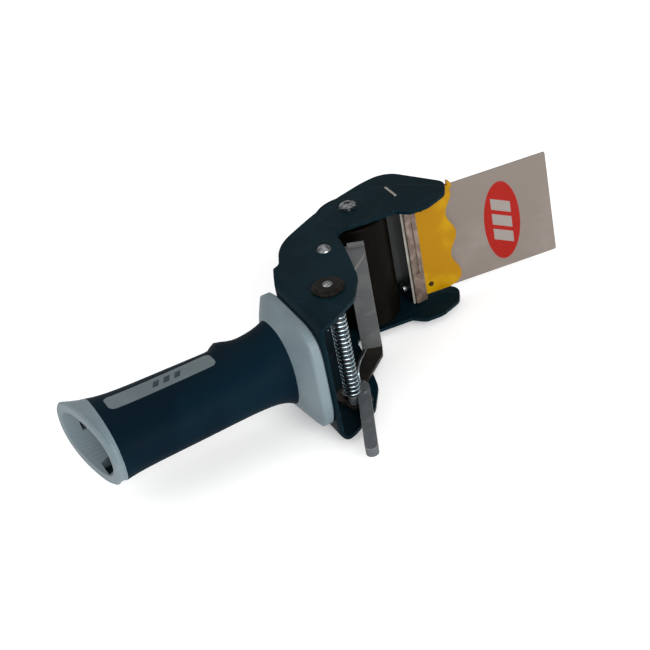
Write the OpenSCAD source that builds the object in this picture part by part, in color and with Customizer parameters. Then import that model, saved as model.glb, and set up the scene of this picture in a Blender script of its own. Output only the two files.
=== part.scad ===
// Hand-held dispenser for 50 mm parcel tape.
// X runs from the handle's end rim towards the head, +Y is the side that the head leans to,
// and Z runs across the side plates. The origin is on the end rim's flat face, at the heel
// of the handle, midway between the side plates.

/* [Frame] */
// Width over the two side plates
frame_w = 56; // [50:0.5:68]
// Thickness of the pressed steel sheet
sheet_t = 1.5; // [1:0.1:2.5]
// Outer radius of the bends between the web and the side plates
bend_r = 4; // [3:0.5:7]
// Distance from the handle's heel to the lever pivot
pivot_x = 102; // [94:1:130]
// Height of the lever pivot against the handle's axis
pivot_y = -7.5; // [-10:0.5:-5]
// Distance from the lever pivot back to the web's rear face
web_back = 15.3; // [14:0.1:18]
// Length of the blade holder's side tabs
tab_len = 9; // [6:0.5:12]
// Clearance round each tab in its slot
tab_gap = 0.2; // [0.1:0.05:0.4]

/* [Handle] */
// Height of the grip behind the label
grip_h = 39; // [35:1:44]
// Thickness of the grip
grip_t = 24; // [22:1:28]
// How much the grip's height falls from the rim to the collar
grip_fall = 8; // [4:0.5:9]
// Length of the end rim at the heel
rim_len = 3.4; // [3:0.1:10]
// Height of the end rim
rim_h = 44; // [42:1:52]
// Thickness of the end rim
rim_t = 31; // [28:1:36]
// How far the end rim's middle is above the handle's axis
rim_rise = 2.6; // [0:0.2:4]
// Slant of the end rim, its top further back than its heel
rim_slant = 10; // [0:0.5:14]
// Wall of the hollow handle core
core_wall = 2.4; // [2:0.1:3.5]
// Thickness of the soft grip over the core
sleeve_t = 2.6; // [2:0.1:3.5]
// Side of the square collar
collar_side = 47; // [44:0.5:50]
// How far the collar's middle is below the handle's axis
collar_drop = 3.6; // [0:0.2:6]
// Thickness of the collar's square edge
collar_edge = 4; // [3:0.5:7]
// Length of the collar's taper down to the grip
collar_taper = 4.8; // [4:0.2:10]
// Height of the thumb stop on the grip
thumb_h = 4.6; // [1:0.1:5]
// Length of the label inlay
label_len = 45.5; // [30:0.5:48]
// Width of the label inlay
label_w = 10; // [7:0.5:12]
// Diameter of the screws between the web and the collar
handle_screw_d = 4; // [3:0.5:5]

/* [Roller] */
// Diameter of the rubber roller
roller_d = 30; // [26:0.2:32]
// Length of the roller
roller_len = 50; // [42:0.5:51]
// Thickness of the rubber
rubber_t = 2.2; // [1.5:0.1:4]
// Diameter of the roller's fixed axle
axle_d = 8; // [6:0.5:10]
// Radial clearance of everything that turns on a pin
run_gap = 0.05; // [0.02:0.01:0.09]
// Diameter of the serrated screws at the axle's ends
axle_screw_head = 7; // [6:0.5:9]

/* [Brake lever] */
// Diameter of the two pivot rivets
pivot_d = 3.6; // [3:0.2:4.6]
// Diameter of the dished washers
washer_d = 13.2; // [10:0.2:16]
// Thickness of the lever's arms
arm_t = 1.5; // [1:0.1:2]
// Gap between an arm and the side plate
arm_gap = 0.4; // [0.3:0.05:0.8]
// Width of the brake bar
bar_w = 8.5; // [6:0.5:10]
// Thickness of the brake bar
bar_t = 2; // [1.5:0.1:3]
// Length of the finger lever from its root to its tip
trigger_len = 40; // [34:0.5:50]
// Width of the finger lever
trigger_w = 5.2; // [4.5:0.1:6.5]
// Thickness of the finger lever
trigger_t = 4; // [3:0.5:5]

/* [Spring] */
// Outer diameter of the coil
coil_d = 7; // [6:0.1:7.4]
// Diameter of the spring wire
wire_d = 0.9; // [0.6:0.1:1]
// Number of turns
coil_turns = 20; // [12:1:24]
// Diameter of the rod that carries the coil
rod_d = 3.6; // [3:0.1:4]

/* [Cutting head] */
// Width of the flap, the same as the tape's
flap_w = 50; // [44:0.5:50]
// Length of the flap beyond the clamp bar
flap_len = 64.2; // [45:0.2:75]
// Thickness of the flap
flap_t = 0.5; // [0.4:0.05:1]
// Slope of the blade, guard and flap
head_slope = 8.5; // [6:0.5:11]
// Thickness of the serrated blade
blade_t = 0.6; // [0.5:0.05:1]
// Reach of the blade's teeth beyond the clamp bar
blade_reach = 11; // [8:0.5:12]
// Pitch of the blade's teeth
tooth = 2.5; // [2:0.25:4]
// Thickness of the guard
guard_t = 1.8; // [1.4:0.1:2.2]
// Reach of the guard beyond the clamp bar
guard_reach = 15.9; // [13:0.1:17]
// Height of the waves along the guard's edge
wave_h = 1.8; // [0.5:0.1:2.5]
// Distance between the waves
wave_pitch = 20.5; // [12:0.5:26]

/* [Hidden] */
$fn = 64;
half_w = frame_w / 2;
inner_w = half_w - sheet_t;
// The heel of the end rim is at y = 0, so the handle's axis is above it
rim_seat = 2.4;
axis_y = rim_h / 2 - rim_rise - rim_seat;
// The pivots in the plane of the side plates, measured from the lever pivot
pivot = [pivot_x, axis_y + pivot_y];
roller_at = pivot + [34.6, 46.8];
tie_at = pivot + [11.8, 25.5];
rod_at = pivot + [-0.9, -6];
bar_at = pivot + [23.1, 21.7];
web_x = pivot_x - web_back;
web_low = -22.4;
// The clamp bar's rear face lies on the front face of the blade holder
holder_at = pivot + [53.4, 38.2];
holder_t = 1.2;
holder_h = 18.6;
holder_lip = 5;
holder_gap = 0.3;
tab_low = 2.2;
bar_depth = 5.2;
bar_h = 8.6;
groove = 3;
groove_gap = 0.1;
// The head's own origin is where the flap leaves the clamp bar
head_at = holder_at + [holder_t + bar_depth, 1.6];
clamp_screw_d = 3;
clamp_screw_z = 20;
clamp_screw_y = 5.4;
// Handle stations along X
collar_front = web_x;
collar_back = collar_front - collar_edge;
grip_front = collar_back - collar_taper;
grip_len = grip_front - rim_len;
thumb_x = grip_front - 19;
label_x = thumb_x - 5.4 - label_len;
label_depth = 0.8;
label_y = 3.7;
label_gap = 0.15;
label_r = 2.6;
screw_grid = collar_side / 2 - 7.5;
inner_arm = inner_w - arm_gap - arm_t;
trigger_angle = 24.5;
trigger_root = pivot + [5, -3.7];
tie_d = 7;
rivet_d = 4;
rivet_head = 6.2;
rivet_h = 1.7;
arm_hub = 5.5;
axle_screw_d = 5;

// ---- helpers -------------------------------------------------------------

// Points of a rounded corner: q is the corner, p and n its neighbours, and q[2] its radius
function unit(v) = v / norm(v);
function flat(v) = [v[0], v[1]];
function corner(p, q, n, steps = 6) =
    let (
        u = unit(flat(p) - flat(q)),
        w = unit(flat(n) - flat(q)),
        half = acos(max(-1, min(1, u * w))) / 2,
        back = q[2] / tan(half),
        centre = flat(q) + unit(u + w) * q[2] / sin(half),
        first = flat(q) + u * back - centre,
        last = flat(q) + w * back - centre,
        turn = atan2(first[0] * last[1] - first[1] * last[0], first * last)
    )
    [for (i = [0:steps])
        let (a = turn * i / steps)
        centre + [first[0] * cos(a) - first[1] * sin(a), first[0] * sin(a) + first[1] * cos(a)]];
function rounded(points) =
    let (last = len(points) - 1)
    [for (i = [0:last])
        each corner(points[i == 0 ? last : i - 1], points[i], points[i == last ? 0 : i + 1])];

module at(p, z = 0) translate([p[0], p[1], z]) children();
module on_axis() translate([0, axis_y, 0]) children();

// A pin along Z, centred on the middle plane
module pin(p, d, l) at(p) cylinder(d = d, h = l, center = true);

// The same thing on both sides of the middle plane
module both() {
    children();
    mirror([0, 0, 1]) children();
}

// A closed skin through rings of points that all have the same count
module skin(rings) {
    n = len(rings[0]);
    last = len(rings) - 1;
    faces = concat(
        [[for (i = [0:n - 1]) i]],
        [for (r = [0:last - 1], i = [0:n - 1])
            each [[r * n + i, (r + 1) * n + i, r * n + (i + 1) % n],
                [r * n + (i + 1) % n, (r + 1) * n + i, (r + 1) * n + (i + 1) % n]]],
        [[for (i = [n - 1:-1:0]) last * n + i]]
    );
    polyhedron(points = [for (ring = rings) each ring], faces = faces, convexity = 6);
}

// An oval ring in the plane at x: half height, half thickness, squareness, a bulge on its upper
// side, and the height of its middle
ring_n = 48;
function power(v, e) = sign(v) * pow(abs(v), e);
function oval(x, a, b, square = 2, lift = 0, rise = 0) =
    [for (i = [0:ring_n - 1])
        let (t = 360 * i / ring_n, y = a * power(cos(t), 2 / square))
        [x, rise + y + lift * pow(max(0, cos(t)), 0.8), b * power(sin(t), 2 / square)]];

// ---- frame ---------------------------------------------------------------

// Outline of a side plate, measured from the lever pivot, each corner with its radius
plate_outline = [
    [-web_back, web_low, 3], [-8.6, web_low + 2, 3.5], [4.6, -12.9, 7], [12.8, -1, 12],
    [15.8, 9.5, 30], [18.7, 20, 20], [21.2, 34, 5], [47.8, 30.4, 1.5], [52, 25.4, 4], [60, 24.4, 8],
    [70.4, 28, 6], [75.4, 35.8, 5.5], [60.5, 60.4, 11], [49, 60, 40], [25, 54.2, 110], [-1.4, 41, 24],
    [-7.5, 28, 4], [-10.5, 27.2, 2], [-web_back, 17, 8]
];
web_reach = 120;

module sheet_channel() {
    rotate([90, 0, 0])
        linear_extrude(height = 2 * web_reach, center = true)
            difference() {
                channel_section(web_x, half_w, bend_r, web_reach);
                channel_section(web_x + sheet_t, inner_w, bend_r - sheet_t, 2 * web_reach);
            }
}

module channel_section(x, w, r, reach) {
    polygon(rounded([[x, w, r], [x, -w, r], [x + reach, -w, 1], [x + reach, w, 1]]));
}

module frame() {
    color("#16344a")
        difference() {
            intersection() {
                sheet_channel();
                at(pivot)
                    linear_extrude(height = frame_w + 2, center = true)
                        polygon(rounded(plate_outline));
            }
            pin(pivot, pivot_d, frame_w + 2);
            pin(roller_at, axle_screw_d, frame_w + 2);
            pin(tie_at, rivet_d, frame_w + 2);
            tabs(tab_gap, 2);
            on_axis()
                handle_screw_holes();
        }
}

tab_proud = 0.3;
// The blade holder's side tabs, grown by a gap
module tabs(gap, extra) {
    translate([holder_at[0] - gap, holder_at[1] + tab_low - gap, -half_w - extra])
        cube([holder_t + 2 * gap, tab_len + 2 * gap, frame_w + 2 * extra]);
}

// ---- handle --------------------------------------------------------------

// The grip flares a little towards the rim, falls towards the collar and flares across it
function rear(x) = exp(-(x - rim_len) / 7);
function front(x) = exp((x - grip_front) / 6.5);
rim_flare = 1.6;
collar_flare = 5.9;
function along(x) = max(0, x - rim_len) / grip_len;
function grip_a(x) = grip_h / 2 + rim_flare * rear(x) - grip_fall / 2 * pow(along(x), 2);
function grip_b(x) = grip_t / 2 + rim_flare * rear(x) + collar_flare * front(x);
function grip_c(x) = rim_rise / 4 * rear(x) - front(x);
// The thumb stop has a steep rear side and a long front side
thumb_steep = 2.4;
thumb_long = 4.5;
function thumb(x) = thumb_h * exp(-pow((x - thumb_x) / (x < thumb_x ? thumb_steep : thumb_long), 2));
grip_steps = 36;
grip_square = 2.3;
grip_x = [for (i = [0:grip_steps]) rim_len + grip_len * i / grip_steps];

module grip_skin(inset) {
    skin([for (x = grip_x)
        oval(x, grip_a(x) - inset, grip_b(x) - inset, grip_square, inset > 0 ? 0 : thumb(x), grip_c(x))]);
}

module label_block(grow) {
    translate([label_x - grow, label_y - label_w / 2 - grow, 0])
        linear_extrude(height = grip_t)
            polygon(rounded([[0, 0, label_r], [label_len + 2 * grow, 0, label_r],
                [label_len + 2 * grow, label_w + 2 * grow, label_r], [0, label_w + 2 * grow, label_r]]));
}

module grip_sleeve() {
    color("#0f3547")
        on_axis()
        difference() {
            grip_skin(0);
            core_tube();
            label_recess();
        }
}

// The core under the grip is a plain oval tube that tapers with it
tube_rear = grip_h / 2 - sleeve_t;
tube_front = grip_a(grip_front) - sleeve_t;
tube_b = grip_t / 2 - sleeve_t;
module core_tube() {
    skin([oval(rim_len - 1, tube_rear, tube_b, grip_square),
        oval(grip_front + 1, tube_front, tube_b, grip_square)]);
}

module label_recess() {
    difference() {
        label_block(0);
        grip_skin(label_depth);
    }
}

module handle_label() {
    color("#a9b2b6")
        on_axis()
        intersection() {
            difference() {
                label_block(-label_gap);
                grip_skin(label_depth);
            }
            grip_skin(0.05);
        }
}

// The end rim leans back: its top is further back than its heel
rim_heel = rim_rise - rim_h / 2 + rim_seat;
function leaned(ring, part) =
    [for (p = ring) [p[0] - part * tan(rim_slant) * (p[1] - rim_heel), p[1], p[2]]];

collar_square = 4.8;
edge_round = 0.7;
mouth_wall = core_wall + 1.2;
module handle_core() {
    rim_a = rim_h / 2;
    rim_b = rim_t / 2;
    half = collar_side / 2;
    color("#9fabb0")
        on_axis()
        difference() {
            union() {
                skin([
                    leaned(oval(0, rim_a - edge_round, rim_b - edge_round, grip_square, 0, rim_rise), 1),
                    leaned(oval(edge_round, rim_a, rim_b, grip_square, 0, rim_rise), 1),
                    leaned(oval(rim_len * 0.4, rim_a - edge_round, rim_b - edge_round * 1.3,
                        grip_square, 0, rim_rise * 0.8), 0.6),
                    leaned(oval(rim_len * 0.75, (rim_a + grip_a(rim_len)) / 2 - edge_round,
                        (rim_b + grip_b(rim_len)) / 2 - edge_round, grip_square, 0, rim_rise * 0.5), 0.25),
                    oval(rim_len, grip_a(rim_len), grip_b(rim_len), grip_square, 0, grip_c(rim_len))
                ]);
                core_tube();
                skin([
                    oval(grip_front, grip_a(grip_front), grip_b(grip_front), grip_square, 0,
                        grip_c(grip_front)),
                    oval(grip_front + collar_taper * 0.35, (grip_a(grip_front) + half) / 2 - edge_round,
                        (grip_b(grip_front) + half) / 2 - edge_round, 3, 0, -collar_drop * 0.5),
                    oval(collar_back - edge_round, half - edge_round, half - edge_round,
                        collar_square - 0.4, 0, -collar_drop),
                    oval(collar_back, half, half, collar_square, 0, -collar_drop),
                    oval(collar_front - edge_round, half, half, collar_square, 0, -collar_drop),
                    oval(collar_front, half - edge_round, half - edge_round, collar_square, 0, -collar_drop)
                ]);
            }
            skin([
                leaned(oval(-1, rim_a - mouth_wall, rim_b - mouth_wall, grip_square, 0, rim_rise), 1),
                oval(rim_len + 2, tube_rear - core_wall, tube_b - core_wall, grip_square),
                oval(collar_back - 1, tube_front - core_wall, tube_b - core_wall, grip_square)
            ]);
            core_windows();
            handle_screw_holes();
        }
}

// A window low in the mouth's side, through which the back of the grip shows, and a slot above it
window_len = 9;
window_h = 10;
window_low = -rim_h * 0.2;
slot_len = 5;
slot_h = 4;
slot_wide = 3.8;
pocket_wall = 2.3;
pocket_lip = 1;
module core_windows() {
    translate([-pocket_lip, window_low, pocket_wall - rim_t / 2])
        cube([window_len, window_h, rim_t / 4]);
    translate([-pocket_lip, rim_h / 2 + rim_rise - 2 * pocket_wall - slot_h, -slot_wide])
        cube([slot_len, slot_h, slot_wide]);
}

module screw_grid_at() {
    for (y = [-screw_grid, screw_grid], z = [-screw_grid, screw_grid])
        translate([0, y - collar_drop, z])
            rotate([0, 90, 0])
                children();
}

screw_bite = collar_edge - 0.8;
tip_gap = 0.4;
handle_screw_head = handle_screw_d * 1.7;
pan_h = 1.2;
crown_h = 0.8;
slot_w = 0.8;
module handle_screw_holes() {
    screw_grid_at()
        translate([0, 0, collar_front - screw_bite - tip_gap])
            cylinder(d = handle_screw_d, h = screw_bite + tip_gap + sheet_t + 1);
}

module handle_screws() {
    color("#c9cdd0")
        on_axis()
        screw_grid_at() {
            translate([0, 0, collar_front - screw_bite])
                cylinder(d = handle_screw_d, h = screw_bite + sheet_t + 0.5);
            translate([0, 0, web_x + sheet_t])
                difference() {
                    union() {
                        cylinder(d = handle_screw_head, h = pan_h);
                        translate([0, 0, pan_h])
                            cylinder(d1 = handle_screw_head, d2 = handle_screw_d * 1.2, h = crown_h);
                    }
                    translate([0, 0, pan_h])
                        cross_slot(handle_screw_d, slot_w, pan_h);
                }
        }
}

module cross_slot(l, w, h) {
    for (a = [0, 90])
        rotate(a)
            translate([-l / 2, -w / 2, 0])
                cube([l, w, h]);
}

// ---- roller --------------------------------------------------------------

bush_flange = 0.8;
bush_d = axle_d + 4;
bush_len = 8;
core_d = roller_d - 2 * rubber_t;
core_inset = 0.5;
roller_edge = 0.6;

module roller_axle() {
    color("#b9bfc3")
        difference() {
            pin(roller_at, axle_d, 2 * inner_w);
            both()
                at(roller_at, inner_w - screw_in)
                    cylinder(d = axle_screw_d, h = screw_in + 1);
        }
}

screw_in = 9;
serrations = 10;
serration = 0.9;
socket_d = 2.4;
module axle_screws() {
    color("#d2d6d8")
        both()
            at(roller_at, 0) {
                translate([0, 0, inner_w - screw_in])
                    cylinder(d = axle_screw_d, h = screw_in + sheet_t);
                translate([0, 0, half_w])
                    difference() {
                        union() {
                            cylinder(d = axle_screw_head, h = pan_h);
                            translate([0, 0, pan_h])
                                cylinder(d1 = axle_screw_head - serration, d2 = axle_screw_head * 0.6,
                                    h = crown_h);
                        }
                        for (i = [0:serrations - 1])
                            rotate(360 / serrations * i)
                                translate([axle_screw_head / 2, 0, pan_h / 3])
                                    cylinder(d = serration, h = pan_h + crown_h, $fn = 16);
                        translate([0, 0, pan_h - 0.3])
                            cylinder(d = socket_d, h = pan_h + crown_h);
                    }
            }
}

module roller_core() {
    color("#2b2d30")
        difference() {
            pin(roller_at, core_d, roller_len - 2 * core_inset);
            pin(roller_at, axle_d + 2, roller_len + 2);
            both()
                at(roller_at, roller_len / 2 - core_inset - bush_len)
                    cylinder(d = bush_d, h = bush_len + 1);
        }
}

module roller_rubber() {
    color("#0d0d0e")
        at(roller_at)
            rotate_extrude()
                polygon([
                    [core_d / 2, -roller_len / 2], [roller_d / 2 - roller_edge, -roller_len / 2],
                    [roller_d / 2, -roller_len / 2 + roller_edge],
                    [roller_d / 2, roller_len / 2 - roller_edge],
                    [roller_d / 2 - roller_edge, roller_len / 2], [core_d / 2, roller_len / 2]
                ]);
}

module roller_bushes() {
    color("#e6e2d6")
        both()
            at(roller_at, roller_len / 2 - core_inset - bush_len)
                difference() {
                    union() {
                        cylinder(d = bush_d, h = bush_len);
                        translate([0, 0, bush_len])
                            cylinder(d = bush_d + 3, h = bush_flange);
                    }
                    translate([0, 0, -1])
                        cylinder(d = axle_d + 2 * run_gap, h = bush_len + 3);
                }
}

// ---- tie bar and pivot ---------------------------------------------------

rivet_in = 7;
module tie_bar() {
    color("#9da3a6")
        difference() {
            pin(tie_at, tie_d, 2 * inner_w);
            both()
                at(tie_at, inner_w - rivet_in)
                    cylinder(d = rivet_d, h = rivet_in + 1);
        }
}

// A domed rivet head that sits on z = 0
module dome(d, h) {
    r = (d * d / 4 + h * h) / (2 * h);
    intersection() {
        translate([0, 0, h - r])
            sphere(r = r);
        cylinder(d = d, h = h + 1);
    }
}

module tie_rivets() {
    color("#d2d6d8")
        both()
            at(tie_at, 0) {
                translate([0, 0, inner_w - rivet_in])
                    cylinder(d = rivet_d, h = rivet_in + sheet_t + 0.2);
                translate([0, 0, half_w])
                    dome(rivet_head, rivet_h);
            }
}

washer_t = 0.8;
washer_rise = 1.2;
washer_slope = 2.2;
pivot_head = 5.6;
pivot_head_t = 0.8;
peg_h = 0.9;
pivot_end = inner_arm - pivot_head_t - 0.3;

// Each pivot rivet has a flat head behind its arm and a domed one over its washer
module pivot_rivets() {
    color("#c9cdd0")
        both()
            at(pivot, pivot_end) {
                cylinder(d = pivot_d, h = half_w + washer_rise + washer_t - pivot_end);
                cylinder(d = pivot_head, h = pivot_head_t);
                translate([0, 0, half_w + washer_rise + washer_t - pivot_end])
                    dome(pivot_d + 0.6, peg_h);
            }
}

// A dished spring washer, hollow side to the plate
module pivot_washers() {
    color("#4a3a33")
        both()
            at(pivot, half_w)
                rotate_extrude()
                    polygon([
                        [pivot_d / 2, washer_rise], [washer_d / 2 - washer_slope, washer_rise],
                        [washer_d / 2 - washer_t / 2, 0], [washer_d / 2, 0], [washer_d / 2, washer_t],
                        [washer_d / 2 - washer_slope * 0.7, washer_rise + washer_t],
                        [pivot_d / 2, washer_rise + washer_t]
                    ]);
}

// ---- brake lever ---------------------------------------------------------

bar_turn = -27;
tab_w = 3.4;
arm_tip = [20.6, 17.6];
arm_root_r = 4.2;
arm_tip_r = 4.6;
bar_seat = 5;
rod_pin = rod_d - 1;
trigger_rivet_d = 2;
flush_h = 0.25;
trigger_holes = [[6.4, -1.2], [3.7, -7.4]];
bar_end_gap = 0.6;
bar_inset = 1.6;

module arm_shape() {
    difference() {
        union() {
            circle(r = arm_hub);
            hull() {
                circle(r = arm_root_r, $fn = 32);
                translate(arm_tip)
                    circle(r = arm_tip_r, $fn = 32);
            }
            translate(bar_at - pivot)
                rotate(bar_turn)
                    translate([-bar_w / 2, -bar_seat])
                        square([bar_w, bar_seat + bar_t / 2]);
            translate(rod_at - pivot)
                circle(r = rod_d / 2 + 1.4);
            translate(trigger_root - pivot)
                rotate(-trigger_angle)
                    translate([0, -3])
                        circle(r = trigger_w / 2 + 0.6);
        }
        circle(d = pivot_d + 2 * run_gap);
        translate(rod_at - pivot)
            circle(d = rod_pin);
        for (p = trigger_holes)
            translate(p)
                circle(d = trigger_rivet_d);
    }
}

// The bar passes over the arm on the +Z side and has a tab in a slot on the other side
module lever_arms() {
    color("#3c3a39") {
        at(pivot, inner_arm)
            linear_extrude(height = arm_t)
                difference() {
                    arm_shape();
                    translate(bar_at - pivot)
                        rotate(bar_turn)
                            translate([-bar_w, -bar_t / 2])
                                square([2 * bar_w, bar_w]);
                }
        at(pivot, -inner_arm - arm_t)
            linear_extrude(height = arm_t)
                difference() {
                    arm_shape();
                    translate(bar_at - pivot)
                        rotate(bar_turn)
                            square([tab_w, bar_t], center = true);
                }
    }
}

module brake_bar() {
    lip_t = bar_t * 0.7;
    lip_h = bar_t * 1.1;
    color("#b4b4b2")
        at(bar_at)
            rotate(bar_turn) {
                translate([-bar_w / 2, -bar_t / 2, -inner_arm])
                    cube([bar_w, bar_t, 2 * inner_arm]);
                translate([-bar_w / 2, bar_t / 2, -inner_arm])
                    cube([lip_t, lip_h, 2 * inner_arm]);
                translate([-tab_w / 2, -bar_t / 2, -inner_arm - arm_t])
                    cube([tab_w, bar_t, arm_t]);
                translate([-bar_w / 2 + bar_inset, -bar_t / 2, inner_arm])
                    cube([bar_w - bar_inset, bar_t, half_w - bar_end_gap - inner_arm]);
            }
}

module trigger() {
    color("#8f9193")
        at(pivot, -inner_arm)
            linear_extrude(height = trigger_t)
                difference() {
                    union() {
                        hull() {
                            translate(rod_at - pivot)
                                circle(d = rod_pin + 1.8, $fn = 32);
                            translate(trigger_root - pivot)
                                circle(d = trigger_w, $fn = 32);
                        }
                        translate(trigger_root - pivot)
                            rotate(-trigger_angle)
                                hull() {
                                    circle(d = trigger_w, $fn = 32);
                                    translate([0, -trigger_len + trigger_w / 2])
                                        circle(d = trigger_w, $fn = 32);
                                }
                    }
                    translate(rod_at - pivot)
                        circle(d = rod_pin);
                    for (p = trigger_holes)
                        translate(p)
                            circle(d = trigger_rivet_d);
                }
}

module trigger_rivets() {
    color("#c9cdd0")
        for (p = trigger_holes)
            at(pivot + p, -inner_arm - arm_t) {
                cylinder(d = trigger_rivet_d, h = arm_t + trigger_t);
                translate([0, 0, arm_t + trigger_t])
                    dome(trigger_rivet_d, flush_h);
            }
}

rod_top = inner_arm;
rod_low = -inner_arm + trigger_t;
module spring_rod() {
    color("#8b9094") {
        at(rod_at, rod_low)
            cylinder(d = rod_d, h = rod_top - rod_low);
        at(rod_at, -inner_arm - arm_t)
            cylinder(d = rod_pin, h = 2 * (inner_arm + arm_t));
    }
}

// The coil and its two legs are one swept wire
coil_low = rod_low + 1.2;
coil_top = rod_top - 5;
coil_r = (coil_d - wire_d) / 2;
turn_steps = 14;
wire_sides = 6;
// The upper end is on the handle's side and the lower end on the bar's side
coil_start = 175;
coil_turn = 360 * coil_turns - 150;
coil_steps = coil_turns * turn_steps;
function coil_point(k) =
    let (f = k / coil_steps, a = coil_start + coil_turn * f)
    [rod_at[0] + coil_r * cos(a), rod_at[1] + coil_r * sin(a), coil_top - (coil_top - coil_low) * f];
coil_path = [for (k = [0:coil_steps]) coil_point(k)];
// The short leg turns down beside the web, and the long one runs up beside the coil to the bar
short_x = pivot[0] - 9.4;
short_y = pivot[1] - 8.4;
short_len = 6.6;
short_leg = [
    [short_x, short_y - short_len, coil_top + 1],
    [short_x, short_y - 1, coil_top + 1],
    [short_x + 0.8, short_y, coil_top + 1],
    [rod_at[0] - coil_r - 1.4, rod_at[1] - 1, coil_top + 0.5]
];
leg_x = rod_at[0] + coil_r + wire_d + 0.5;
leg_y = rod_at[1] + 1.2;
leg_rise = 6.4;
long_leg = [
    [leg_x, leg_y, coil_low + 0.9],
    [leg_x, leg_y, coil_low + leg_rise],
    [leg_x + 1, leg_y + 1.4, coil_low + leg_rise + 1],
    [leg_x + 5, leg_y + 8, coil_low + leg_rise - 1],
    [bar_at[0] - 4.6, bar_at[1] - 4.4, coil_low - 1.6],
    [bar_at[0] - 2.4, bar_at[1] - 1.4, coil_low - 2.4]
];
wire_path = concat(short_leg, coil_path, long_leg);

// A round wire swept along a path, each ring square to the path
function frame_at(path, i) =
    let (
        last = len(path) - 1,
        t = unit(path[min(last, i + 1)] - path[max(0, i - 1)]),
        side = unit(cross(t, abs(t[2]) < 0.9 ? [0, 0, 1] : [1, 0, 0])),
        up = cross(side, t)
    )
    [for (s = [0:wire_sides - 1])
        path[i] + wire_d / 2 * (cos(360 * s / wire_sides) * side + sin(360 * s / wire_sides) * up)];

module torsion_spring() {
    color("#dfe4e6")
        skin([for (i = [0:len(wire_path) - 1]) frame_at(wire_path, i)]);
}

// ---- cutting head --------------------------------------------------------

module blade_holder() {
    color("#d9dcdb") {
        difference() {
            union() {
                translate([holder_at[0], holder_at[1], -inner_w + holder_gap])
                    cube([holder_t, holder_h, 2 * (inner_w - holder_gap)]);
                tabs(0, tab_proud);
            }
            clamp_holes(holder_at[0] - 1, holder_t + 2);
        }
        translate([holder_at[0] + holder_t, holder_at[1] + holder_h - holder_t, -inner_w + 3])
            cube([holder_lip, holder_t, 2 * inner_w - 6]);
    }
}

module clamp_holes(x, l) {
    for (z = [-clamp_screw_z, clamp_screw_z])
        translate([x, holder_at[1] + clamp_screw_y, z])
            rotate([0, 90, 0])
                cylinder(d = clamp_screw_d, h = l);
}

bar_z = inner_w - 0.8;
// A long window in the clamp bar's edge
window_x = 1.2;
window_w = 2;
window_z = 11;
window_long = 28;
module clamp_bar() {
    color("#b8b2ac")
        difference() {
            translate([holder_at[0] + holder_t, holder_at[1] - 1.4, -bar_z])
                cube([bar_depth, bar_h, 2 * bar_z]);
            head_frame()
                translate([-groove, -blade_t - guard_t - groove_gap, -bar_z - 1])
                    cube([groove + 2, blade_t + guard_t + flap_t + 1.1, 2 * bar_z + 2]);
            clamp_holes(holder_at[0], holder_t + bar_depth - 0.8);
            translate([holder_at[0] + holder_t + window_x, holder_at[1] - 2, -window_z])
                cube([window_w, 1.2, window_long]);
        }
}

clamp_head = 4.2;
clamp_head_t = 2;
module clamp_screws() {
    color("#d2d6d8")
        for (z = [-clamp_screw_z, clamp_screw_z])
            translate([holder_at[0], holder_at[1] + clamp_screw_y, z])
                rotate([0, 90, 0]) {
                    cylinder(d = clamp_screw_d, h = holder_t + bar_depth - 1.2);
                    translate([0, 0, -clamp_head_t])
                        difference() {
                            cylinder(d = clamp_head, h = clamp_head_t);
                            translate([-clamp_head, -slot_w / 2, -1])
                                cube([2 * clamp_head, slot_w, 2]);
                        }
                }
}

// The blade, guard and flap share one sloping frame
module head_frame() at(head_at) rotate(-head_slope) children();

blade_w = flap_w + 1;
tooth_h = 1.6;
module blade() {
    teeth = floor(blade_w / tooth);
    edge = teeth * tooth / 2;
    color("#cfd2d4")
        head_frame()
            rotate([90, 0, 0])
                linear_extrude(height = blade_t)
                    difference() {
                        polygon(concat(
                            [[-groove + groove_gap, -edge], [-groove + groove_gap, edge]],
                            [for (i = [0:teeth - 1])
                                each [[blade_reach - tooth_h, edge - i * tooth],
                                    [blade_reach, edge - (i + 0.5) * tooth]]],
                            [[blade_reach - tooth_h, -edge]]
                        ));
                        guard_pin_holes();
                    }
}

pin_x = 3.2;
pin_z = 19;
pin_d = 1.6;
module guard_pin_holes() {
    for (z = [-pin_z, pin_z])
        translate([pin_x, z])
            circle(d = pin_d);
}

guard_low = inner_w - 3;
guard_high = inner_w - 0.5;
guard_r = 4;
lip_gap = 0.2;
ear_r = 2.2;
wave_shift = 2.6;
ear_x = guard_reach + 0.2;
ear_neck = guard_reach - wave_h - guard_r - ear_r;
plate_tip = 16.4;
module guard() {
    steps = 60;
    color("#e0a60a")
        head_frame()
            translate([0, -blade_t, 0])
                rotate([90, 0, 0])
                    linear_extrude(height = guard_t)
                        difference() {
                            union() {
                                polygon(concat(
                                    [[-groove + groove_gap, -bar_z + 1], [lip_gap, -bar_z + 1],
                                        [lip_gap, -guard_low]],
                                    [for (i = [0:steps])
                                        let (z = -guard_low + (guard_low + guard_high) * i / steps)
                                        [guard_edge(z), z]],
                                    [[lip_gap, guard_high], [lip_gap, bar_z - 1],
                                        [-groove + groove_gap, bar_z - 1]]
                                ));
                                translate([ear_x, guard_high])
                                    circle(r = ear_r);
                                translate([ear_neck, guard_high - ear_r])
                                    square([ear_x - ear_neck, ear_r]);
                            }
                            guard_pin_holes();
                            translate([0, inner_w - 0.35])
                                square([plate_tip, sheet_t + 1]);
                        }
}

// The wavy edge falls away in a quarter circle at both ends
function guard_edge(z) =
    let (left = z < 0 ? guard_low + z : guard_high - z)
    guard_reach + wave_h * cos(360 * (z - wave_shift) / wave_pitch)
        - (left < guard_r ? guard_r - sqrt(guard_r * guard_r - pow(guard_r - left, 2)) : 0);

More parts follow.
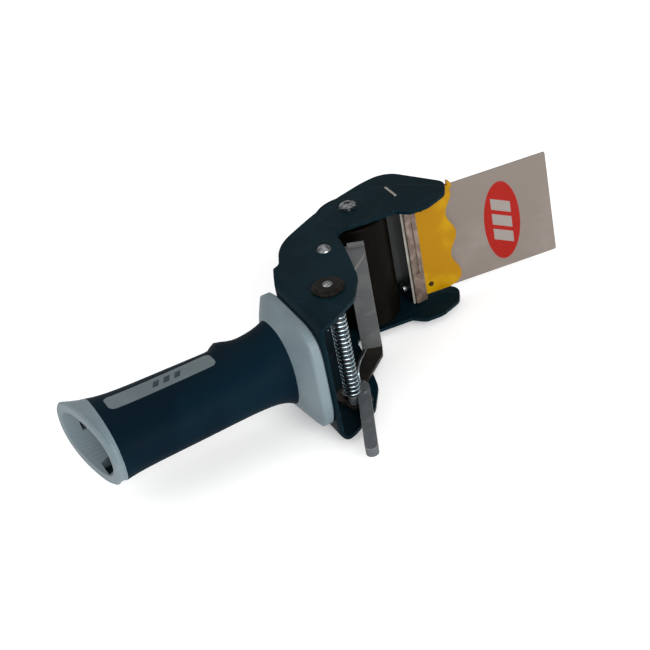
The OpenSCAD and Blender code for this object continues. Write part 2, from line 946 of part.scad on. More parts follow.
module guard_pins() {
    color("#8a7a3a")
        head_frame()
            for (z = [-pin_z, pin_z])
                translate([pin_x, 0, z])
                    rotate([90, 0, 0]) {
                        cylinder(d = pin_d, h = blade_t + guard_t);
                        translate([0, 0, blade_t + guard_t])
                            cylinder(d1 = pin_d + 0.8, d2 = pin_d, h = 0.6);
                    }
}

flap_gap = 0.35;
flap_r = 1.5;
module flap() {
    color("#d8d3d0")
        head_frame()
            translate([0, flap_gap, 0])
                rotate([-90, 0, 0])
                    linear_extrude(height = flap_t)
                        polygon(rounded([[flap_gap, -flap_w / 2, 0.2], [flap_len, -flap_w / 2, flap_r],
                            [flap_len, flap_w / 2, flap_r], [flap_gap, flap_w / 2, 0.2]]));
}

frame();
handle_core();
grip_sleeve();
handle_label();
handle_screws();
roller_axle();
axle_screws();
roller_core();
roller_rubber();
roller_bushes();
tie_bar();
tie_rivets();
pivot_rivets();
pivot_washers();
lever_arms();
brake_bar();
trigger();
trigger_rivets();
spring_rod();
torsion_spring();
blade_holder();
clamp_bar();
clamp_screws();
blade();
guard();
guard_pins();
flap();
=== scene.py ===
"""Hand-held dispenser for 50 mm parcel tape, lying on its side on a pale studio floor.

X runs along the handle towards the head, +Y is the side that the head leans to and Z runs across
the two side plates. Lengths are in metres; sizes written as n * MM are in millimetres.
"""

import math

import bpy
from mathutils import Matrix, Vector


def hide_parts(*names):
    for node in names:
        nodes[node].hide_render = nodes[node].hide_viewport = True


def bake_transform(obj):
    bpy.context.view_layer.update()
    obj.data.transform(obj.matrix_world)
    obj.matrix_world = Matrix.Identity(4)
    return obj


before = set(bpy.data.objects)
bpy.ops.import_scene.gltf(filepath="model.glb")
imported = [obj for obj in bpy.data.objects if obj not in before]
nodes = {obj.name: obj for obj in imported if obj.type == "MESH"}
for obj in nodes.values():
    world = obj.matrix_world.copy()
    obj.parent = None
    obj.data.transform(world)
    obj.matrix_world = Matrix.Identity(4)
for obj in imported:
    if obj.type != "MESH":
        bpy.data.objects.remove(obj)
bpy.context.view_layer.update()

MM = 0.001

# Where the main parts are, in millimetres
PIVOT = (102.0, 9.5)
AXIS_Y = 17.0
HEAD = (161.8, 49.3)
HEAD_SLOPE = 8.5
FLOOR_Z = -30.9
ROLLER_AT = (PIVOT[0] + 34.6, PIVOT[1] + 46.8)
TIE_AT = (PIVOT[0] + 11.8, PIVOT[1] + 25.5)

# ---------------------------------------------------------------- camera and light

# Places in metres, turns in degrees, the lens in millimetres
CAMERA_AT = (-0.0847, -0.4529, 0.362)
CAMERA_TURN = (54.32, 9.47, -28.26)
LENS = 86.2
WORLD_LIGHT = 0.62

scene = bpy.context.scene
scene.view_settings.view_transform = "Standard"

bpy.ops.object.camera_add(location=CAMERA_AT)
camera = bpy.context.object
camera.name = "camera"
camera.rotation_euler = [math.radians(turn) for turn in CAMERA_TURN]
camera.data.lens = LENS
camera.data.sensor_width = 36
camera.data.clip_start = 0.01
camera.data.clip_end = 20
scene.camera = camera


def soft_light(name, place, aim, size, power, tint=(1, 1, 1)):
    """A square area light that looks at a point."""
    bpy.ops.object.light_add(type="AREA", location=place)
    lamp = bpy.context.object
    lamp.name = name
    lamp.data.size = size
    lamp.data.energy = power
    lamp.data.color = tint
    turn = (Vector(aim) - Vector(place)).to_track_quat("-Z", "Y")
    lamp.rotation_euler = turn.to_euler()


middle = (0.11, 0.03, 0.0)
soft_light("front_softbox", (0.12, -0.95, 0.42), middle, 0.8, 13.0)
soft_light("left_softbox", (-0.85, 0.05, 0.75), middle, 0.9, 4.2, (0.97, 0.99, 1.0))
soft_light("top_softbox", (0.25, 0.35, 1.1), middle, 1.0, 1.6)

world = bpy.data.worlds.new("studio")
scene.world = world
world.use_nodes = True
world.node_tree.nodes["Background"].inputs["Color"].default_value = (1.0, 1.0, 1.0, 1)
world.node_tree.nodes["Background"].inputs["Strength"].default_value = WORLD_LIGHT


# ---------------------------------------------------------------- shader groups


def new_group(name, inputs, outputs):
    """A shader node group with named float or vector sockets."""
    tree = bpy.data.node_groups.new(name, "ShaderNodeTree")
    kinds = {"f": "NodeSocketFloat", "v": "NodeSocketVector"}
    for label, kind, value in inputs:
        socket = tree.interface.new_socket(label, in_out="INPUT", socket_type=kinds[kind])
        socket.default_value = value
    for label, kind in outputs:
        tree.interface.new_socket(label, in_out="OUTPUT", socket_type=kinds[kind])
    return tree, tree.nodes.new("NodeGroupInput"), tree.nodes.new("NodeGroupOutput")


def node(tree, kind, **settings):
    """A node, with its properties set by name."""
    made = tree.nodes.new(kind)
    for key, value in settings.items():
        setattr(made, key, value)
    return made


def maths(tree, operation, a, b=0.0, clamp=False):
    """A maths node; a and b are numbers or sockets."""
    made = tree.nodes.new("ShaderNodeMath")
    made.operation = operation
    made.use_clamp = clamp
    for slot, value in ((0, a), (1, b)):
        if isinstance(value, (int, float)):
            made.inputs[slot].default_value = value
        else:
            tree.links.new(value, made.inputs[slot])
    return made.outputs[0]


def ramp_between(tree, value, low, high):
    """0 below low, 1 above high, smooth between."""
    made = tree.nodes.new("ShaderNodeMapRange")
    made.interpolation_type = "SMOOTHSTEP"
    made.inputs["From Min"].default_value = low
    made.inputs["From Max"].default_value = high
    tree.links.new(value, made.inputs["Value"])
    return made.outputs["Result"]


# Where each noise starts to show and where it shows in full
MOTTLE_SHOWS = (0.35, 0.65)
EDGE_SHOWS = (0.02, 0.16)
SPOT_SHOWS = (0.44, 0.6)
SCRATCH_SHOWS = (0.66, 0.72)
SCRATCH_TURNS = (0.35, -0.9)


def build_grain():
    """Fine grain and slow mottle. Stretch pulls the grain out along an axis, as brushing does."""
    tree, given, out = new_group(
        "surface_grain",
        [("Scale", "f", 900.0), ("Mottle Scale", "f", 45.0), ("Stretch", "v", (1, 1, 1))],
        [("Grain", "f"), ("Mottle", "f")],
    )
    coords = node(tree, "ShaderNodeTexCoord")
    stretch = node(tree, "ShaderNodeVectorMath", operation="MULTIPLY")
    tree.links.new(coords.outputs["Object"], stretch.inputs[0])
    tree.links.new(given.outputs["Stretch"], stretch.inputs[1])
    fine = node(tree, "ShaderNodeTexNoise")
    fine.inputs["Detail"].default_value = 5
    fine.inputs["Roughness"].default_value = 0.62
    tree.links.new(stretch.outputs[0], fine.inputs["Vector"])
    tree.links.new(given.outputs["Scale"], fine.inputs["Scale"])
    slow = node(tree, "ShaderNodeTexNoise")
    slow.inputs["Detail"].default_value = 3
    tree.links.new(coords.outputs["Object"], slow.inputs["Vector"])
    tree.links.new(given.outputs["Mottle Scale"], slow.inputs["Scale"])
    tree.links.new(fine.outputs["Fac"], out.inputs["Grain"])
    tree.links.new(ramp_between(tree, slow.outputs["Fac"], *MOTTLE_SHOWS), out.inputs["Mottle"])
    return tree


def build_wear():
    """A mask of the edges, broken up by noise: 1 where a rim has been rubbed."""
    tree, given, out = new_group(
        "edge_wear", [("Width", "f", 0.0006), ("Break Up", "f", 320.0)], [("Worn", "f")]
    )
    bevel = node(tree, "ShaderNodeBevel", samples=6)
    tree.links.new(given.outputs["Width"], bevel.inputs["Radius"])
    flat = node(tree, "ShaderNodeNewGeometry")
    dot = node(tree, "ShaderNodeVectorMath", operation="DOT_PRODUCT")
    tree.links.new(bevel.outputs["Normal"], dot.inputs[0])
    tree.links.new(flat.outputs["Normal"], dot.inputs[1])
    edge = ramp_between(tree, maths(tree, "SUBTRACT", 1.0, dot.outputs["Value"]), *EDGE_SHOWS)
    coords = node(tree, "ShaderNodeTexCoord")
    noise = node(tree, "ShaderNodeTexNoise")
    noise.inputs["Detail"].default_value = 4
    tree.links.new(coords.outputs["Object"], noise.inputs["Vector"])
    tree.links.new(given.outputs["Break Up"], noise.inputs["Scale"])
    spots = ramp_between(tree, noise.outputs["Fac"], *SPOT_SHOWS)
    tree.links.new(maths(tree, "MULTIPLY", edge, spots, True), out.inputs["Worn"])
    return tree


def build_scratches():
    """Thin, sparse scratches in two directions."""
    tree, given, out = new_group(
        "fine_scratches", [("Density", "f", 260.0), ("Length", "f", 14.0)], [("Scratch", "f")]
    )
    coords = node(tree, "ShaderNodeTexCoord")
    lines = []
    for turn in SCRATCH_TURNS:
        mapping = node(tree, "ShaderNodeMapping")
        mapping.inputs["Rotation"].default_value = (0.2, turn, turn)
        stretch = node(tree, "ShaderNodeCombineXYZ")
        stretch.inputs["Y"].default_value = 1.0
        stretch.inputs["Z"].default_value = 1.0
        tree.links.new(maths(tree, "DIVIDE", 1.0, given.outputs["Length"]), stretch.inputs[0])
        tree.links.new(stretch.outputs[0], mapping.inputs["Scale"])
        tree.links.new(coords.outputs["Object"], mapping.inputs["Vector"])
        noise = node(tree, "ShaderNodeTexNoise")
        noise.inputs["Detail"].default_value = 2
        tree.links.new(mapping.outputs[0], noise.inputs["Vector"])
        tree.links.new(given.outputs["Density"], noise.inputs["Scale"])
        lines.append(ramp_between(tree, noise.outputs["Fac"], *SCRATCH_SHOWS))
    tree.links.new(maths(tree, "MAXIMUM", lines[0], lines[1]), out.inputs["Scratch"])
    return tree


GRAIN = build_grain()
WEAR = build_wear()
SCRATCHES = build_scratches()


def use_group(tree, group, **values):
    """Places a group in a material and sets its inputs; an underscore stands for a space."""
    made = tree.nodes.new("ShaderNodeGroup")
    made.node_tree = group
    for key, value in values.items():
        made.inputs[key.replace("_", " ")].default_value = value
    return made


# Where a colour mix has its sockets
MIX_FACTOR, MIX_A, MIX_B, MIX_RESULT = 0, 6, 7, 2


def mix_colour(tree, factor, a, b):
    """A colour mix; factor, a and b are values or sockets."""
    made = tree.nodes.new("ShaderNodeMix")
    made.data_type = "RGBA"
    for slot, value in ((MIX_FACTOR, factor), (MIX_A, a), (MIX_B, b)):
        if isinstance(value, bpy.types.NodeSocket):
            tree.links.new(value, made.inputs[slot])
        elif slot == MIX_FACTOR:
            made.inputs[slot].default_value = value
        else:
            made.inputs[slot].default_value = (*value, 1)
    return made.outputs[MIX_RESULT]


# How much lighter and rougher a scratch is, and how much smoother a rubbed edge
SCRATCH_LIFT = 1.8
SCRATCH_BASE = 0.02
SCRATCH_ROUGH = 0.25
RUBBED_SMOOTH = 0.1


def finish_of(
    name,
    colour,
    shade,
    rough=(0.4, 0.55),
    metallic=0.0,
    grain=900.0,
    mottle=45.0,
    stretch=(1, 1, 1),
    bump=0.15,
    bump_depth=0.00006,
    worn=None,
    scratched=0.0,
    **constants,
):
    """A finish that varies over the surface: two tones, two roughnesses, grain, wear and scratches."""
    made = bpy.data.materials.get(name) or bpy.data.materials.new(name)
    made.use_nodes = True
    tree = made.node_tree
    tree.nodes.clear()
    shader = tree.nodes.new("ShaderNodeBsdfPrincipled")
    surface_out = tree.nodes.new("ShaderNodeOutputMaterial")
    tree.links.new(shader.outputs[0], surface_out.inputs["Surface"])
    shader.inputs["Metallic"].default_value = metallic
    for label, value in constants.items():
        shader.inputs[label.replace("_", " ")].default_value = value
    surface = use_group(tree, GRAIN, Scale=grain, Mottle_Scale=mottle, Stretch=stretch)
    blend = maths(tree, "MULTIPLY", surface.outputs["Grain"], surface.outputs["Mottle"])
    base = mix_colour(tree, ramp_between(tree, blend, 0.1, 0.6), shade, colour)
    roughness = node(tree, "ShaderNodeMapRange")
    roughness.inputs["To Min"].default_value = rough[0]
    roughness.inputs["To Max"].default_value = rough[1]
    tree.links.new(surface.outputs["Grain"], roughness.inputs["Value"])
    roughness_out = roughness.outputs["Result"]
    if scratched:
        lines = use_group(tree, SCRATCHES)
        amount = maths(tree, "MULTIPLY", lines.outputs["Scratch"], scratched)
        lighter = tuple(min(1.0, c * SCRATCH_LIFT + SCRATCH_BASE) for c in colour)
        base = mix_colour(tree, amount, base, lighter)
        coarser = maths(tree, "MULTIPLY", amount, SCRATCH_ROUGH)
        roughness_out = maths(tree, "ADD", roughness_out, coarser, True)
    if worn:
        rubbed = use_group(tree, WEAR, Width=worn[1])
        base = mix_colour(tree, rubbed.outputs["Worn"], base, worn[0])
        smoother = maths(tree, "MULTIPLY", rubbed.outputs["Worn"], RUBBED_SMOOTH)
        roughness_out = maths(tree, "SUBTRACT", roughness_out, smoother, True)
    tree.links.new(base, shader.inputs["Base Color"])
    tree.links.new(roughness_out, shader.inputs["Roughness"])
    relief = node(tree, "ShaderNodeBump")
    relief.inputs["Strength"].default_value = bump
    relief.inputs["Distance"].default_value = bump_depth
    tree.links.new(surface.outputs["Grain"], relief.inputs["Height"])
    tree.links.new(relief.outputs["Normal"], shader.inputs["Normal"])
    return made


def colour_link(material):
    """The socket that feeds a finish's base colour."""
    return material.node_tree.nodes["Principled BSDF"].inputs["Base Color"].links[0].from_socket


def print_or_painted_shade_on(material, mask, mask_colour):
    """Lays a mask onto a finish in one colour: used for print, for plating and for painted shade."""
    tree = material.node_tree
    masked_colour = mix_colour(tree, mask, colour_link(material), mask_colour)
    tree.links.new(masked_colour, tree.nodes["Principled BSDF"].inputs["Base Color"])


def place_axes(tree):
    """The object coordinates, one socket per axis."""
    coords = node(tree, "ShaderNodeTexCoord")
    split = node(tree, "ShaderNodeSeparateXYZ")
    tree.links.new(coords.outputs["Object"], split.inputs[0])
    return split.outputs


def inside_oval(tree, x, z, centre, radii, soft=0.03):
    """1 inside an oval in the X and Z plane."""
    across = maths(tree, "DIVIDE", maths(tree, "SUBTRACT", x, centre[0]), radii[0])
    along = maths(tree, "DIVIDE", maths(tree, "SUBTRACT", z, centre[1]), radii[1])
    square = maths(
        tree, "ADD", maths(tree, "MULTIPLY", across, across), maths(tree, "MULTIPLY", along, along)
    )
    return ramp_between(tree, maths(tree, "SUBTRACT", 1.0, square), -soft, soft)


def within(tree, value, centre, half):
    """1 where a value is less than half away from its centre."""
    away = maths(tree, "ABSOLUTE", maths(tree, "SUBTRACT", value, centre))
    return maths(tree, "LESS_THAN", away, half)


def inside_box(tree, x, z, centre, half):
    """1 inside a rectangle in the plane of x and z."""
    return maths(
        tree, "MULTIPLY", within(tree, x, centre[0], half[0]), within(tree, z, centre[1], half[1])
    )


# ---------------------------------------------------------------- finishes

navy_enamel = finish_of(
    "navy_enamel", (0.0022, 0.0115, 0.0165), (0.001, 0.0075, 0.0115), rough=(0.34, 0.48), grain=380,
    mottle=30, bump=0.12, bump_depth=0.0001, worn=((0.012, 0.028, 0.038), 0.0004), scratched=0.06,
    Specular_IOR_Level=0.035,
)
grey_plastic = finish_of(
    "grey_plastic", (0.132, 0.172, 0.190), (0.110, 0.147, 0.165), rough=(0.45, 0.6), grain=1400,
    mottle=35, bump=0.22, bump_depth=0.00005, worn=((0.19, 0.235, 0.26), 0.0005), scratched=0.05,
    Specular_IOR_Level=0.3,
)
navy_grip = finish_of(
    "navy_grip", (0.0004, 0.0080, 0.0148), (0.0002, 0.0052, 0.0105), rough=(0.55, 0.72), grain=2200,
    mottle=26, bump=0.35, bump_depth=0.00008, worn=((0.003, 0.02, 0.032), 0.0006),
    Specular_IOR_Level=0.04,
)
label_plastic = finish_of(
    "label_plastic", (0.098, 0.124, 0.134), (0.082, 0.106, 0.114), rough=(0.35, 0.48), grain=1100,
    mottle=60, bump=0.1, bump_depth=0.00004, scratched=0.15, Specular_IOR_Level=0.25,
)
zinc_fasteners = finish_of(
    "zinc_fasteners", (0.30, 0.31, 0.31), (0.10, 0.105, 0.11), rough=(0.2, 0.42), metallic=1.0, grain=700,
    mottle=420, bump=0.2, bump_depth=0.00008, worn=((0.42, 0.42, 0.42), 0.0004),
)
turned_steel = finish_of(
    "turned_steel", (0.10, 0.105, 0.11), (0.055, 0.058, 0.062), rough=(0.3, 0.5), metallic=0.8, grain=700,
    mottle=120, stretch=(1, 1, 7), bump=0.2, bump_depth=0.00006,
)
black_plastic = finish_of(
    "black_plastic", (0.006, 0.006, 0.0065), (0.003, 0.003, 0.0035), rough=(0.45, 0.6), grain=1200, mottle=60,
    bump=0.2, bump_depth=0.00006, Specular_IOR_Level=0.15,
)
black_rubber = finish_of(
    "black_rubber", (0.003, 0.0022, 0.0014), (0.0012, 0.001, 0.0007), rough=(0.34, 0.5), grain=420, mottle=24,
    stretch=(1, 1, 0.3), bump=0.12, bump_depth=0.00008, worn=((0.009, 0.008, 0.007), 0.0005),
    Specular_IOR_Level=0.03,
)
white_bush = finish_of(
    "white_bush", (0.06, 0.06, 0.055), (0.04, 0.04, 0.036), rough=(0.35, 0.5), grain=1500, mottle=90,
    bump=0.15, bump_depth=0.00005, Specular_IOR_Level=0.2,
)
# The washers' dark brown is a painted warm reflection on dark metal
bronze_washer = finish_of(
    "bronze_washer", (0.010, 0.0075, 0.006), (0.004, 0.0034, 0.0028), rough=(0.34, 0.5), metallic=0.1,
    grain=500, mottle=260, bump=0.25, bump_depth=0.00008,
    worn=((0.03, 0.024, 0.02), 0.0004), Specular_IOR_Level=0.08,
)
# The lever arms' dark brown is painted shade and a painted warm reflection on the steel
dark_steel = finish_of(
    "dark_steel", (0.022, 0.0185, 0.0145), (0.010, 0.0085, 0.007), rough=(0.35, 0.55), metallic=0.3,
    grain=520, mottle=90, bump=0.25, bump_depth=0.0001, worn=((0.06, 0.055, 0.048), 0.0005), scratched=0.1,
    Specular_IOR_Level=0.25,
)
zinc_bar = finish_of(
    "zinc_bar", (0.088, 0.089, 0.090), (0.064, 0.066, 0.068), rough=(0.42, 0.62), metallic=0.15, grain=900,
    mottle=70, stretch=(3, 3, 0.6), bump=0.35, bump_depth=0.00012, worn=((0.19, 0.19, 0.185), 0.0005),
    scratched=0.15, Specular_IOR_Level=0.35,
)
cast_lever = finish_of(
    "cast_lever", (0.098, 0.107, 0.113), (0.068, 0.075, 0.08), rough=(0.45, 0.62), metallic=0.12, grain=650,
    mottle=110, bump=0.5, bump_depth=0.00016, worn=((0.19, 0.2, 0.2), 0.0006), scratched=0.1,
    Specular_IOR_Level=0.35,
)
spring_wire = finish_of(
    "spring_wire", (0.48, 0.60, 0.66), (0.26, 0.34, 0.38), rough=(0.14, 0.26), metallic=1.0, grain=1500,
    mottle=200, bump=0.08, bump_depth=0.00003,
)
zinc_sheet = finish_of(
    "zinc_sheet", (0.30, 0.29, 0.26), (0.20, 0.19, 0.17), rough=(0.32, 0.5), metallic=0.05,
    Specular_IOR_Level=0.05, grain=600, mottle=90, stretch=(1, 1, 0.15), bump=0.2, bump_depth=0.00006,
    worn=((0.42, 0.42, 0.38), 0.0004),
)
clamp_metal = finish_of(
    "clamp_metal", (0.185, 0.135, 0.108), (0.10, 0.07, 0.054), rough=(0.25, 0.45), metallic=0.4, grain=500,
    mottle=240, stretch=(1, 1, 0.35), bump=0.2, bump_depth=0.00008, worn=((0.3, 0.24, 0.2), 0.0005),
)
blade_steel = finish_of(
    "blade_steel", (0.16, 0.155, 0.15), (0.10, 0.098, 0.095), rough=(0.25, 0.4), metallic=0.8, grain=700,
    mottle=90, stretch=(0.2, 1, 1), bump=0.15, bump_depth=0.00004,
)
amber_plastic = finish_of(
    "amber_plastic", (0.335, 0.185, 0.0), (0.27, 0.128, 0.0), rough=(0.22, 0.36), grain=160, mottle=60,
    bump=0.3, bump_depth=0.0002, IOR=1.46, Specular_IOR_Level=0.12,
)
brass_pins = finish_of(
    "brass_pins", (0.05, 0.028, 0.004), (0.03, 0.017, 0.003), rough=(0.3, 0.5), metallic=0.6, grain=700,
    mottle=200, bump=0.2, bump_depth=0.00005,
)
clear_film = finish_of(
    "clear_film", (0.185, 0.158, 0.140), (0.160, 0.134, 0.117), rough=(0.16, 0.3), grain=150, mottle=22,
    bump=0.12, bump_depth=0.0001, scratched=0.05, Alpha=0.965, Specular_IOR_Level=0.12,
)
floor_paint = finish_of(
    "floor_paint", (0.9, 0.9, 0.9), (0.885, 0.885, 0.885), rough=(0.6, 0.75), grain=60, mottle=3,
    bump=0.03, bump_depth=0.0002, Emission_Color=(1, 1, 1, 1), Emission_Strength=0.22,
)

# The flap carries a red oval with three slanted bars, as (X, Z) places and half sizes
OVAL = (201.6 * MM, -1.4 * MM)
OVAL_HALF = (8.3 * MM, 19.6 * MM)
BARS_HALF = (4.4 * MM, 10.4 * MM)
BAR_SLANT = 0.5
BAR_PITCH = 7.6 * MM
BAR_SHARE = 0.72

film = clear_film.node_tree
film_x, _, film_z = place_axes(film)[:3]
oval = inside_oval(film, film_x, film_z, OVAL, OVAL_HALF)
tilted = maths(film, "ADD", film_z, maths(film, "MULTIPLY", film_x, BAR_SLANT))
tilt_at = OVAL[1] + BAR_SLANT * OVAL[0]
field = inside_box(film, film_x, tilted, (OVAL[0], tilt_at), BARS_HALF)
from_first = maths(film, "SUBTRACT", tilted, tilt_at - BARS_HALF[1])
step = maths(film, "FRACT", maths(film, "DIVIDE", from_first, BAR_PITCH))
marks = maths(film, "MULTIPLY", field, maths(film, "LESS_THAN", step, BAR_SHARE))
print_or_painted_shade_on(clear_film, oval, (0.235, 0.006, 0.003))
print_or_painted_shade_on(clear_film, marks, (0.21, 0.185, 0.17))

# The label carries a row of small slanted blocks, as (X, Y) places and half sizes
ROW = (24.0 * MM, (AXIS_Y + 3.7) * MM)
ROW_HALF = (7.0 * MM, 1.9 * MM)
BLOCK_SLANT = -0.45
BLOCK_PITCH = 4.6 * MM
BLOCK_SHARE = 0.55

label = label_plastic.node_tree
label_x, label_y, _ = place_axes(label)[:3]
slanted = maths(label, "ADD", label_x, maths(label, "MULTIPLY", label_y, BLOCK_SLANT))
row = inside_box(label, slanted, label_y, ROW, ROW_HALF)
block_step = maths(label, "FRACT", maths(label, "DIVIDE", slanted, BLOCK_PITCH))
blocks = maths(label, "MULTIPLY", row, maths(label, "LESS_THAN", block_step, BLOCK_SHARE))
print_or_painted_shade_on(label_plastic, blocks, (0.006, 0.02, 0.03))

# The side plates are pressed: a shallow round panel about the roller's axle, rings round its screw
# and round the tie bar's rivet, and a step that follows the outer edge
PRESS_DEPTH = 0.5 * MM
PRESS_EDGE = 0.5
STEP_AT = (PIVOT[0] + 33.0, PIVOT[1] + 10.0)


def pressed_disc(tree, x, y, centre, radius):
    """1 inside a disc in the X and Y plane, with a sloping edge; sizes in millimetres."""
    across = maths(tree, "SUBTRACT", x, centre[0] * MM)
    up = maths(tree, "SUBTRACT", y, centre[1] * MM)
    square = maths(
        tree, "ADD", maths(tree, "MULTIPLY", across, across), maths(tree, "MULTIPLY", up, up)
    )
    away = maths(tree, "SQRT", square)
    outside = ramp_between(tree, away, (radius - PRESS_EDGE) * MM, radius * MM)
    return maths(tree, "SUBTRACT", 1.0, outside)


plate = navy_enamel.node_tree
plate_x, plate_y = place_axes(plate)[:2]
outline_step = pressed_disc(plate, plate_x, plate_y, STEP_AT, 46.0)
axle_panel = pressed_disc(plate, plate_x, plate_y, ROLLER_AT, 14.0)
axle_ring = pressed_disc(plate, plate_x, plate_y, ROLLER_AT, 7.2)
tie_ring = pressed_disc(plate, plate_x, plate_y, TIE_AT, 6.4)
raised = maths(plate, "MULTIPLY", outline_step, 0.6)
sunk = maths(plate, "MULTIPLY", axle_panel, 0.55)
rings = maths(plate, "MULTIPLY", maths(plate, "MAXIMUM", axle_ring, tie_ring), 0.4)
relief = maths(plate, "ADD", maths(plate, "SUBTRACT", raised, sunk), rings)
press = node(plate, "ShaderNodeBump")
press.inputs["Strength"].default_value = 0.9
press.inputs["Distance"].default_value = PRESS_DEPTH
plate.links.new(relief, press.inputs["Height"])
enamel = plate.nodes["Principled BSDF"]
plate.links.new(enamel.inputs["Normal"].links[0].from_socket, press.inputs["Normal"])
plate.links.new(press.outputs["Normal"], enamel.inputs["Normal"])

# The blade holder's rear is painted near black as painted shade and a painted dark reflection of the roller;
# its front is bare zinc
HOLDER_REAR = 155.5 * MM

sheet = zinc_sheet.node_tree
sheet_x = place_axes(sheet)[0]
painted_shade_rear = maths(sheet, "LESS_THAN", sheet_x, HOLDER_REAR)
print_or_painted_shade_on(zinc_sheet, painted_shade_rear, (0.004, 0.006, 0.007))

# Inside the handle's mouth, the two windows are painted as dark patches: the grip's dark navy behind them
# together with painted shade in the openings; each is a centre and half sizes along X, Y and Z
WINDOW_SHADE_PATCHES = (
    ((3.4, AXIS_Y - 3.8, -11.9), (4.35, 4.95, 1.35)),
    ((1.5, AXIS_Y + 18.3, -1.9), (2.45, 1.8, 1.85)),
)

core = grey_plastic.node_tree
core_axes = place_axes(core)
for centre, half in WINDOW_SHADE_PATCHES:
    window_shade_patch = within(core, core_axes[0], centre[0] * MM, half[0] * MM)
    for axis in (1, 2):
        edge = within(core, core_axes[axis], centre[axis] * MM, half[axis] * MM)
        window_shade_patch = maths(core, "MULTIPLY", window_shade_patch, edge)
    print_or_painted_shade_on(grey_plastic, window_shade_patch, (0.001, 0.006, 0.011))

# The near arm's end is plated together with the bar that is fixed over it
PLATED_FROM = (PIVOT[0] + 14.0) * MM

arm = dark_steel.node_tree
arm_x, _, arm_z = place_axes(arm)[:3]
plated = maths(
    arm,
    "MULTIPLY",
    maths(arm, "GREATER_THAN", arm_z, 0.0),
    maths(arm, "GREATER_THAN", arm_x, PLATED_FROM),
)
print_or_painted_shade_on(dark_steel, plated, (0.085, 0.087, 0.089))

# Each node's finish, and the width of its rounded edges in millimetres
FINISH = {
    "frame": (navy_enamel, 0.35),
    "handle_core": (grey_plastic, 0.0),
    "grip_sleeve": (navy_grip, 0.0),
    "handle_label": (label_plastic, 0.0),
    "handle_screws": (zinc_fasteners, 0.15),
    "roller_axle": (turned_steel, 0.3),
    "axle_screws": (zinc_fasteners, 0.15),
    "roller_core": (black_plastic, 0.3),
    "roller_rubber": (black_rubber, 0.4),
    "roller_bushes": (white_bush, 0.2),
    "tie_bar": (turned_steel, 0.3),
    "tie_rivets": (zinc_fasteners, 0.15),
    "pivot_rivets": (zinc_fasteners, 0.15),
    "pivot_washers": (bronze_washer, 0.15),
    "lever_arms": (dark_steel, 0.25),
    "brake_bar": (zinc_bar, 0.4),
    "trigger": (cast_lever, 0.9),
    "trigger_rivets": (zinc_fasteners, 0.15),
    "spring_rod": (turned_steel, 0.2),
    "torsion_spring": (spring_wire, 0.0),
    "blade_holder": (zinc_sheet, 0.2),
    "clamp_bar": (clamp_metal, 0.3),
    "clamp_screws": (zinc_fasteners, 0.2),
    "blade": (blade_steel, 0.0),
    "guard": (amber_plastic, 0.4),
    "guard_pins": (brass_pins, 0.15),
    "flap": (clear_film, 0.0),
}


MERGE = 0.001 * MM
SHARP = math.radians(40)


def dress(name, material, edge):
    """Gives a CAD node its finish, and rounds its sharp edges with live modifiers."""
    piece = nodes[name]
    piece.data.materials.clear()
    piece.data.materials.append(material)
    if edge:
        weld = piece.modifiers.new("weld", "WELD")
        weld.merge_threshold = MERGE
        rounding = piece.modifiers.new("rounding", "BEVEL")
        rounding.width = edge * MM
        rounding.segments = 3
        rounding.limit_method = "ANGLE"
        rounding.angle_limit = SHARP
        rounding.use_clamp_overlap = True
        rounding.harden_normals = True


for name, (material, edge) in FINISH.items():
    dress(name, material, edge)

# The coil's wire is smoothed live
wire_weld = nodes["torsion_spring"].modifiers.new("weld", "WELD")
wire_weld.merge_threshold = MERGE
round_wire = nodes["torsion_spring"].modifiers.new("round_wire", "SUBSURF")
round_wire.levels = 2
round_wire.render_levels = 2


# ---------------------------------------------------------------- modelling helpers


def only(piece):
    """Selects one object."""
    bpy.ops.object.select_all(action="DESELECT")
    piece.select_set(True)
    bpy.context.view_layer.objects.active = piece


def settle(piece):
    """Puts the object's place, turn and size into its mesh."""
    only(piece)
    bpy.ops.object.transform_apply(location=True, rotation=True, scale=True)


def apply_all(piece):
    """Applies every modifier, in order."""
    only(piece)
    for modifier in list(piece.modifiers):
        bpy.ops.object.modifier_apply(modifier=modifier.name)


def choose(piece, wanted):
    """Selects the vertices whose places pass a test, and goes to edit mode."""
    bpy.ops.object.mode_set(mode="EDIT")
    bpy.ops.mesh.select_all(action="DESELECT")
    bpy.ops.object.mode_set(mode="OBJECT")
    for vertex in piece.data.vertices:
        vertex.select = wanted(vertex.co)
    bpy.ops.object.mode_set(mode="EDIT")


# ---------------------------------------------------------------- flap

FLAP_LENGTH = 64.1
FLAP_WIDTH = 50.0
FLAP_TUCK = 2.4
FLAP_WALL = 0.45
FLAP_RISE = 0.6
FLAP_CORNER = 0.9
FLAP_OUT_OF_SQUARE = -1.3
FLAP_CURL = (("Y", -4.5), ("X", 3.0))
REACH_IN = 0.01


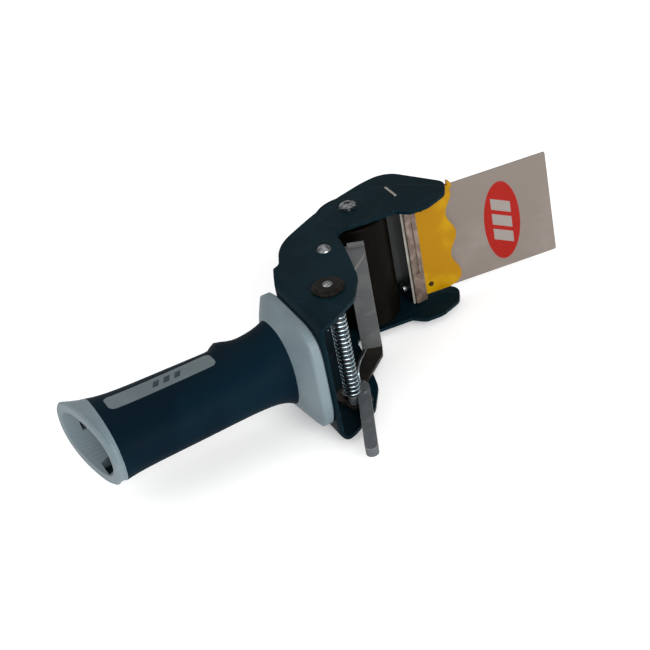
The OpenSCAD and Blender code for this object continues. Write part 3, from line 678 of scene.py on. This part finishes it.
def make_flap():
    """A thin sheet, tucked into the clamp's mouth, with rounded free corners and a slight curl."""
    whole = FLAP_LENGTH + FLAP_TUCK
    end_x = (FLAP_LENGTH - REACH_IN) * MM
    side_y = (FLAP_WIDTH / 2 - REACH_IN) * MM
    bpy.ops.mesh.primitive_grid_add(x_subdivisions=44, y_subdivisions=36, size=1)
    piece = bpy.context.object
    piece.name = "flap_sheet_film"
    bpy.ops.object.mode_set(mode="EDIT")
    bpy.ops.mesh.select_all(action="SELECT")
    bpy.ops.transform.resize(value=(whole * MM, FLAP_WIDTH * MM, 1))
    bpy.ops.transform.translate(value=((whole / 2 - FLAP_TUCK) * MM, 0, 0))
    bpy.ops.object.mode_set(mode="OBJECT")
    choose(piece, lambda place: place.x > end_x and abs(place.y) > side_y)
    bpy.ops.mesh.select_mode(type="VERT")
    bpy.ops.mesh.bevel(offset=FLAP_CORNER * MM, segments=4, affect="VERTICES")
    bpy.ops.object.mode_set(mode="OBJECT")
    for axis, angle in FLAP_CURL:
        curl = piece.modifiers.new("curl", "SIMPLE_DEFORM")
        curl.deform_method = "BEND"
        curl.deform_axis = axis
        curl.angle = math.radians(angle)
    # The end is cut a little out of square, so its last millimetre is turned about one corner
    choose(piece, lambda place: place.x > end_x - MM)
    bpy.ops.transform.rotate(
        value=math.radians(FLAP_OUT_OF_SQUARE),
        orient_axis="Z",
        center_override=(end_x, -FLAP_WIDTH / 2 * MM, 0),
    )
    bpy.ops.object.mode_set(mode="OBJECT")
    wall = piece.modifiers.new("wall", "SOLIDIFY")
    wall.thickness = FLAP_WALL * MM
    wall.offset = 0
    apply_all(piece)
    piece.rotation_euler = (math.radians(90), 0, 0)
    settle(piece)
    piece.rotation_euler = (0, 0, math.radians(-HEAD_SLOPE))
    piece.location = (HEAD[0] * MM, (HEAD[1] + FLAP_RISE) * MM, 0)
    settle(piece)
    bpy.ops.object.shade_smooth_by_angle(angle=math.radians(35))
    piece.data.materials.append(clear_film)
    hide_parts("flap")
    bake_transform(piece)


make_flap()

# ---------------------------------------------------------------- floor

FLOOR_SIZE = 8

bpy.ops.mesh.primitive_plane_add(size=FLOOR_SIZE, location=(0, 0, FLOOR_Z * MM))
floor = bpy.context.object
floor.name = "floor"
floor.data.materials.append(floor_paint)
